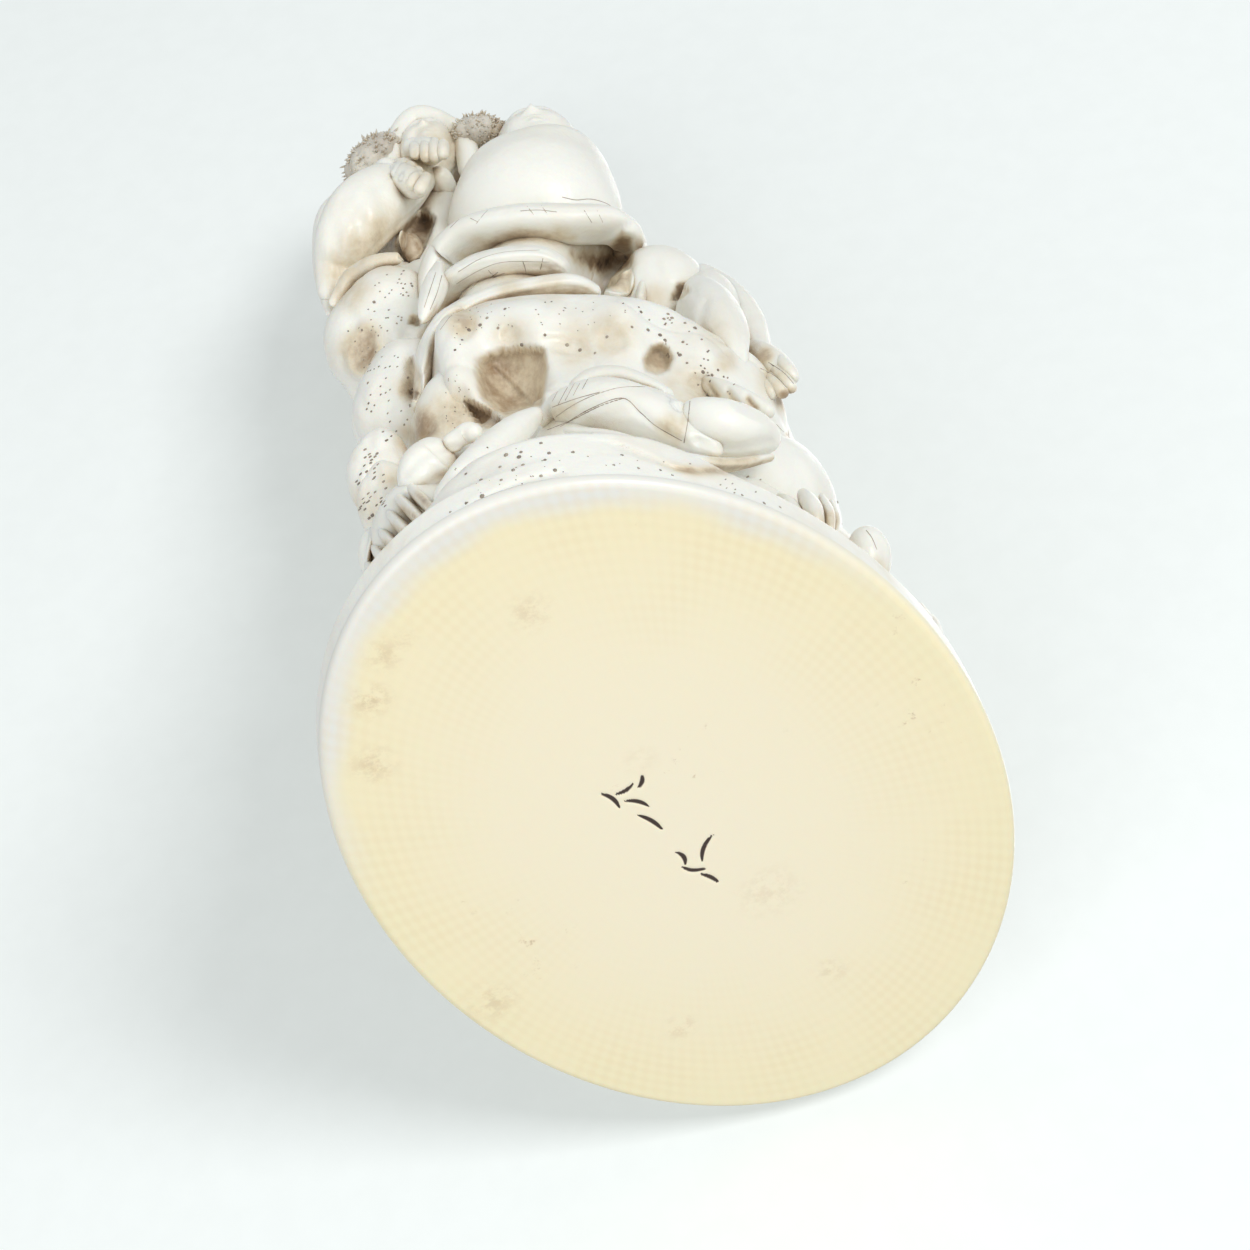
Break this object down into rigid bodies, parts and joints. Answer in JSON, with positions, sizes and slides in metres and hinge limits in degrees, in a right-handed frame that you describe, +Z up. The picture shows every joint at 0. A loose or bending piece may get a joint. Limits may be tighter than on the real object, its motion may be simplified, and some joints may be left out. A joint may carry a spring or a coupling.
{
  "type": "okimono",
  "caption": "Carved ornament of sages and companions on pierced rockwork above an oval base, standing by its own weight.",
  "frame": {"origin": "middle of the oval underside, on the surface that the carving stands on", "axes": "+Z up through the carving to the pine at the top, -Y towards the side where the sages' faces and the low figures are, +X to their right as seen from the front"},
  "size_m": [0.058, 0.077, 0.1255],
  "materials": {
    "ivory": "polished carved ivory, warm white, softly glossy, brown stain in the recesses"
  },
  "bodies": {
    "root": {"ivory_carving": "ivory"}
  },
  "joints": []
}
